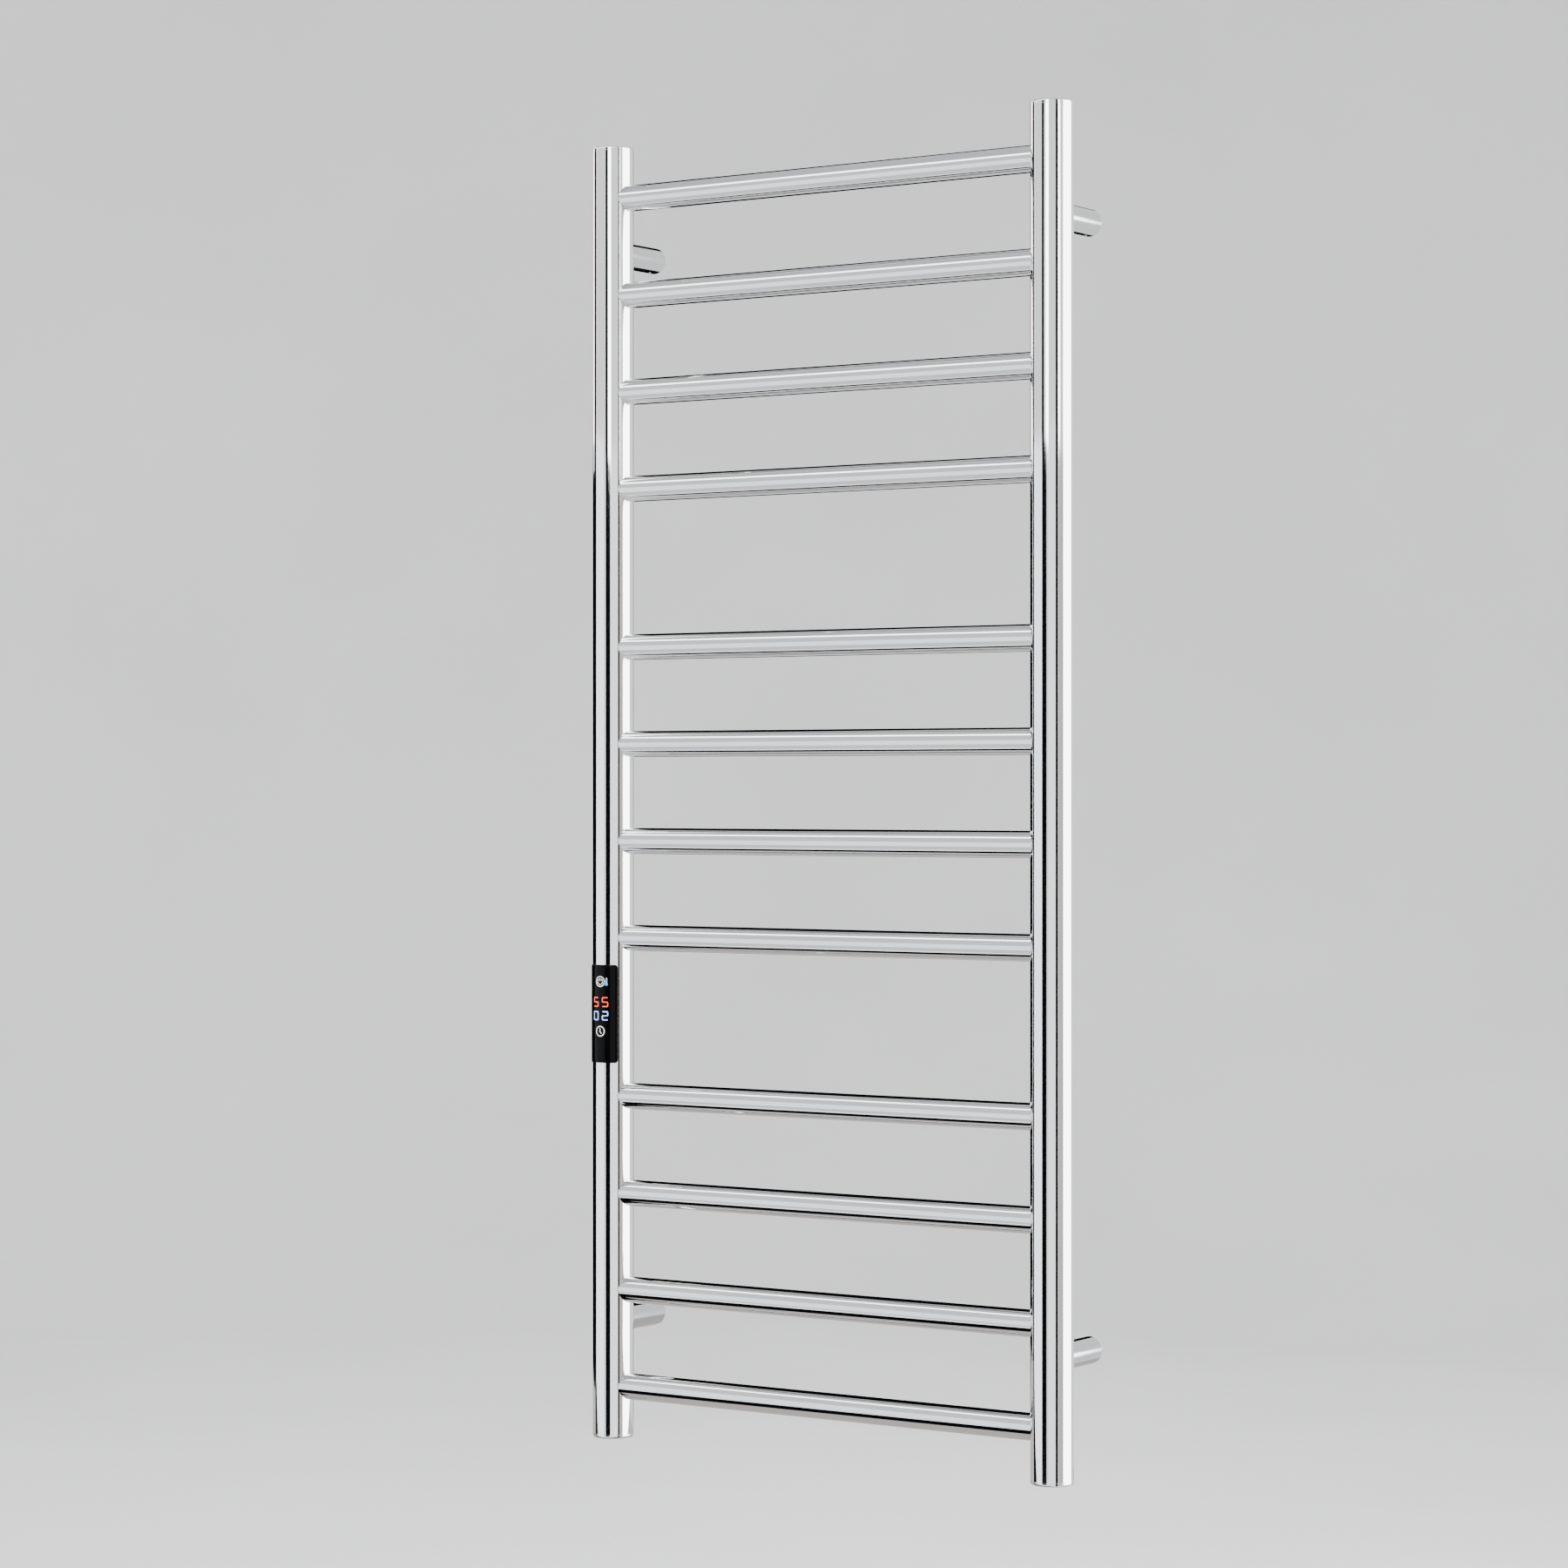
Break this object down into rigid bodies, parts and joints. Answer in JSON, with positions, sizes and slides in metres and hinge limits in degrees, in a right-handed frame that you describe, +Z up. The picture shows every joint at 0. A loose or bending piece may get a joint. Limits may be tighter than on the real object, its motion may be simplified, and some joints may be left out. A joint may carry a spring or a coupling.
{
  "type": "towel warmer rack",
  "caption": "Wall-mounted electric ladder towel rail in polished steel, with round bars in three groups and a touch control in the left post.",
  "frame": {"origin": "centre of the four wall fixings, on the wall's surface", "axes": "+X right seen from the front, +Y towards the wall, +Z up along the posts"},
  "size_m": [0.51, 0.0886, 1.2],
  "materials": {
    "polished_steel": "mirror polish",
    "socket_steel": "turned",
    "screw_steel": "plain",
    "gloss_black": "high gloss",
    "black_rubber": "matt",
    "black_nylon": "moulded",
    "circuit_green": "solder mask",
    "display_grey": "smooth",
    "relay_blue": "moulded",
    "terminal_green": "moulded",
    "sensor_epoxy": "dipped",
    "silicone_red": "smooth",
    "heat_shrink": "shrunk",
    "lead_white": "smooth",
    "earth_green": "smooth",
    "tinned_copper": "tinned"
  },
  "bodies": {
    "wall_sockets": {"upper_left_wall_socket": "socket_steel", "upper_right_wall_socket": "socket_steel", "lower_left_wall_socket": "socket_steel", "lower_right_wall_socket": "socket_steel"},
    "rail": {"left_post": "polished_steel", "right_post": "polished_steel", "bar_01": "polished_steel", "bar_02": "polished_steel", "bar_03": "polished_steel", "bar_04": "polished_steel", "bar_05": "polished_steel", "bar_06": "polished_steel", "bar_07": "polished_steel", "bar_08": "polished_steel", "bar_09": "polished_steel", "bar_10": "polished_steel", "bar_11": "polished_steel", "bar_12": "polished_steel", "left_top_cap": "polished_steel", "right_top_cap": "polished_steel", "left_bottom_cap": "polished_steel", "right_bottom_cap": "polished_steel", "upper_left_standoff": "polished_steel", "upper_right_standoff": "polished_steel", "lower_left_standoff": "polished_steel", "lower_right_standoff": "polished_steel", "grub_screws": "screw_steel", "control_cover": "gloss_black", "cover_gasket": "black_rubber", "control_housing": "black_nylon", "circuit_board": "circuit_green", "board_screws": "screw_steel", "display_module": "display_grey", "touch_pads": "black_rubber", "power_relay": "relay_blue", "terminal_block": "terminal_green", "temperature_sensor": "sensor_epoxy", "sensor_lead": "lead_white", "heating_cable": "silicone_red", "upper_splice": "heat_shrink", "lower_splice": "heat_shrink", "upper_cold_lead": "lead_white", "lower_cold_lead": "lead_white", "thermal_fuse": "heat_shrink", "earth_terminal": "tinned_copper", "earth_screw": "screw_steel", "earth_lead": "earth_green", "cable_gland": "black_nylon", "gland_seal": "black_rubber", "gland_locknut": "black_nylon"}
  },
  "joints": [
    {"name": "rail_lift_off", "type": "slide", "parent": "wall_sockets", "child": "rail", "axis": [0, -1, 0], "range_m": [0, 0.03]}
  ]
}
